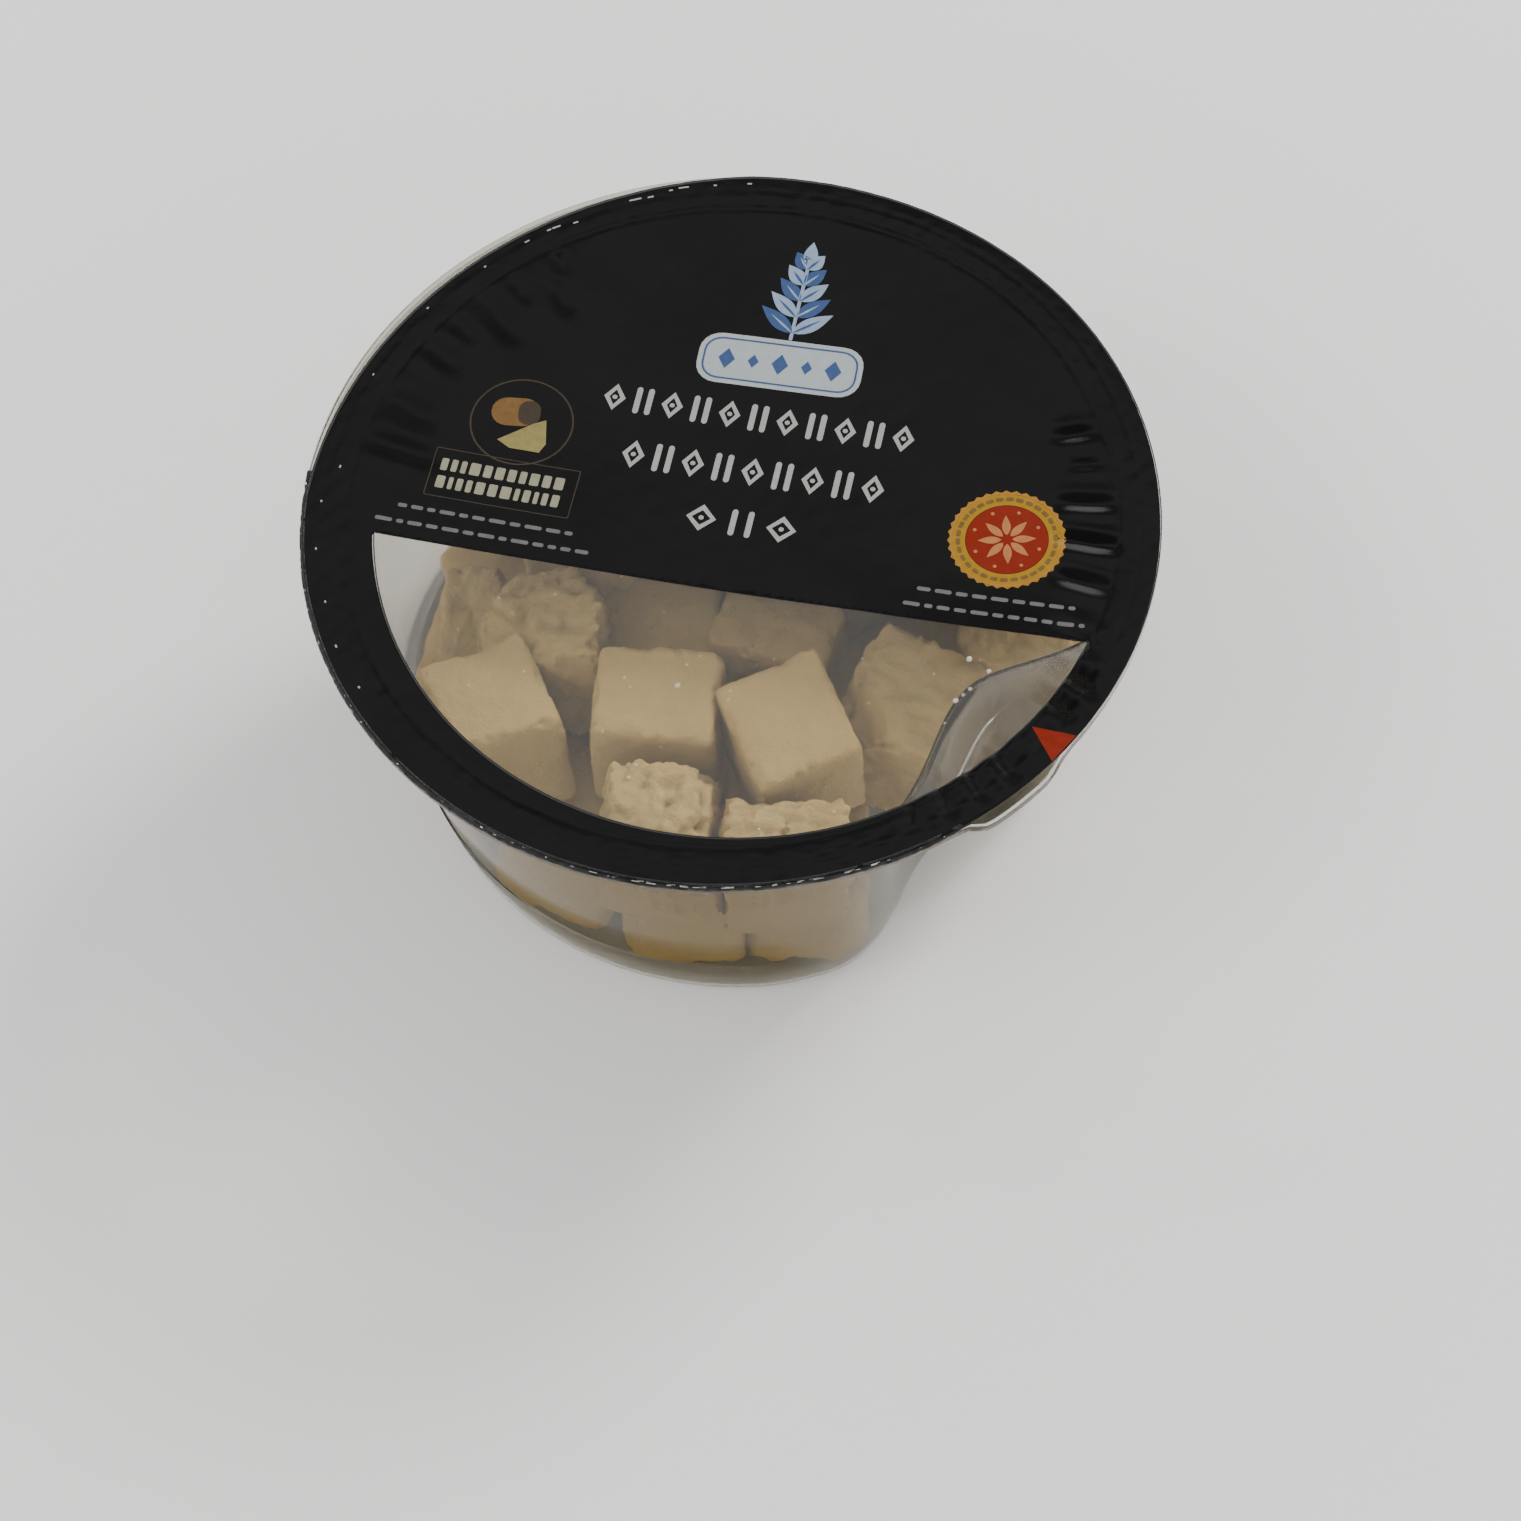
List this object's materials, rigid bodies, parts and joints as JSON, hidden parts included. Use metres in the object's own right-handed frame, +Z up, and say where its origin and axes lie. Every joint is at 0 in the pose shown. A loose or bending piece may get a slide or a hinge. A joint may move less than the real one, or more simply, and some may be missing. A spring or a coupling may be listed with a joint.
{
  "type": "tub of cheese chunks",
  "caption": "Sealed round clear tub of hard cheese chunks, with a peel-off printed film lid, a clear half-moon window and a finger flute under the pull corner.",
  "frame": {"origin": "middle of the tub's foot, on the surface it stands on", "axes": "+Z up out of the film, -Y towards the clear window, +X to the right of the window, with the pull corner 31 degrees from +X towards -Y"},
  "size_m": [0.115, 0.115, 0.0526],
  "materials": {
    "clear_plastic": "clear glossy thermoformed plastic",
    "printed_film": "satin black print on a glossy film, with a clear window",
    "hard_cheese": "pale straw, dull, crumbly and grainy"
  },
  "bodies": {
    "root": {"cup": "clear_plastic", "lid_film": "printed_film", "cheese_chunks": "hard_cheese"}
  },
  "joints": []
}
